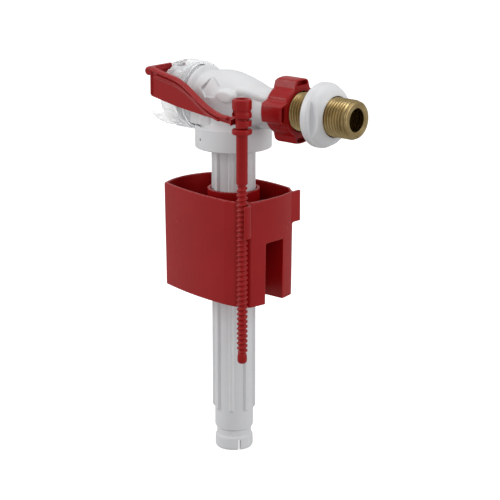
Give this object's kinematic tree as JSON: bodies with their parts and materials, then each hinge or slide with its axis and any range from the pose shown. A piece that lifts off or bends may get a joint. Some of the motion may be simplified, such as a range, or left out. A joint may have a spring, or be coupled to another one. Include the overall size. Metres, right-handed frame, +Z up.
{
  "type": "toilet fill valve",
  "caption": "Side-inlet cistern fill valve: threaded brass tail with wall nuts, clear-capped diaphragm head, ribbed down tube, cup float on a screwed rod, and lever.",
  "frame": {"origin": "on the inlet axis, in the plane where the cistern wall's inner face sits", "axes": "+X along the inlet tail, out of the cistern; +Z up along the down tube; -Y towards the lever and the adjusting rod"},
  "size_m": [0.1343, 0.0584, 0.2169],
  "materials": {
    "white_plastic": "satin moulded white plastic",
    "red_plastic": "satin moulded brick red plastic",
    "clear_plastic": "clear moulded plastic",
    "grey_plastic": "matt light grey plastic",
    "brass": "turned brass, cut thread",
    "black_rubber": "matt black rubber",
    "steel": "drawn stainless wire"
  },
  "bodies": {
    "valve_body": {"valve_head": "white_plastic", "down_tube": "white_plastic", "tube_o_ring": "black_rubber", "foot_ring": "white_plastic", "brass_tail": "brass", "tail_o_ring": "black_rubber", "inlet_strainer": "grey_plastic", "clear_cap": "clear_plastic", "diaphragm": "black_rubber", "bleed_pin": "steel", "lever_pin": "steel"},
    "lever": {"lever": "red_plastic", "pilot_pad": "black_rubber"},
    "rod_bush": {"rod_bush": "red_plastic"},
    "adjusting_rod": {"adjusting_rod": "red_plastic"},
    "float": {"float_cup": "red_plastic"},
    "diaphragm_core": {"diaphragm_core": "grey_plastic"},
    "wall_seal": {"wall_seal": "black_rubber"},
    "lobed_nut": {"lobed_nut": "red_plastic"},
    "backnut_washer": {"backnut_washer": "grey_plastic"},
    "flanged_nut": {"flanged_nut": "white_plastic"}
  },
  "joints": [
    {"name": "lever_hinge", "type": "hinge", "parent": "valve_body", "child": "lever", "pos_m": [-0.0926, 0, 0.0139], "axis": [0, -1, 0], "range_deg": [0, 6]},
    {"name": "rod_lift", "type": "slide", "parent": "valve_body", "child": "rod_bush", "axis": [0, 0, 1], "range_m": [0, 0.0083]},
    {"name": "rod_spin", "type": "hinge", "parent": "rod_bush", "child": "adjusting_rod", "pos_m": [-0.0145, -0.032, -0.003], "axis": [0, 0, 1], "range_deg": [-1667, 8001]},
    {"name": "float_adjust", "type": "slide", "parent": "rod_bush", "child": "float", "axis": [0, 0, 1], "range_m": [-0.06, 0.0125]},
    {"name": "valve_close", "type": "slide", "parent": "valve_body", "child": "diaphragm_core", "axis": [1, 0, 0], "range_m": [0, 0.0009]},
    {"name": "seal_travel", "type": "slide", "parent": "valve_body", "child": "wall_seal", "axis": [1, 0, 0], "range_m": [0, 0.0056]},
    {"name": "lobed_nut_spin", "type": "hinge", "parent": "wall_seal", "child": "lobed_nut", "pos_m": [0, 0, 0], "axis": [1, 0, 0], "range_deg": [0, 1111]},
    {"name": "washer_travel", "type": "slide", "parent": "valve_body", "child": "backnut_washer", "axis": [1, 0, 0], "range_m": [-0.0057, 0.0139]},
    {"name": "flanged_nut_spin", "type": "hinge", "parent": "backnut_washer", "child": "flanged_nut", "pos_m": [0.0167, 0, 0], "axis": [1, 0, 0], "range_deg": [-1131, 2757]}
  ],
  "couplings": [
    {"joint": "rod_lift", "follows": "lever_hinge", "m_per_rad": 0.0788},
    {"joint": "valve_close", "follows": "lever_hinge", "m_per_rad": 0.0085},
    {"joint": "rod_spin", "follows": "float_adjust", "rad_per_m": -2327.1},
    {"joint": "seal_travel", "follows": "lobed_nut_spin", "m_per_rad": 0.00028871},
    {"joint": "washer_travel", "follows": "flanged_nut_spin", "m_per_rad": 0.00028871}
  ]
}
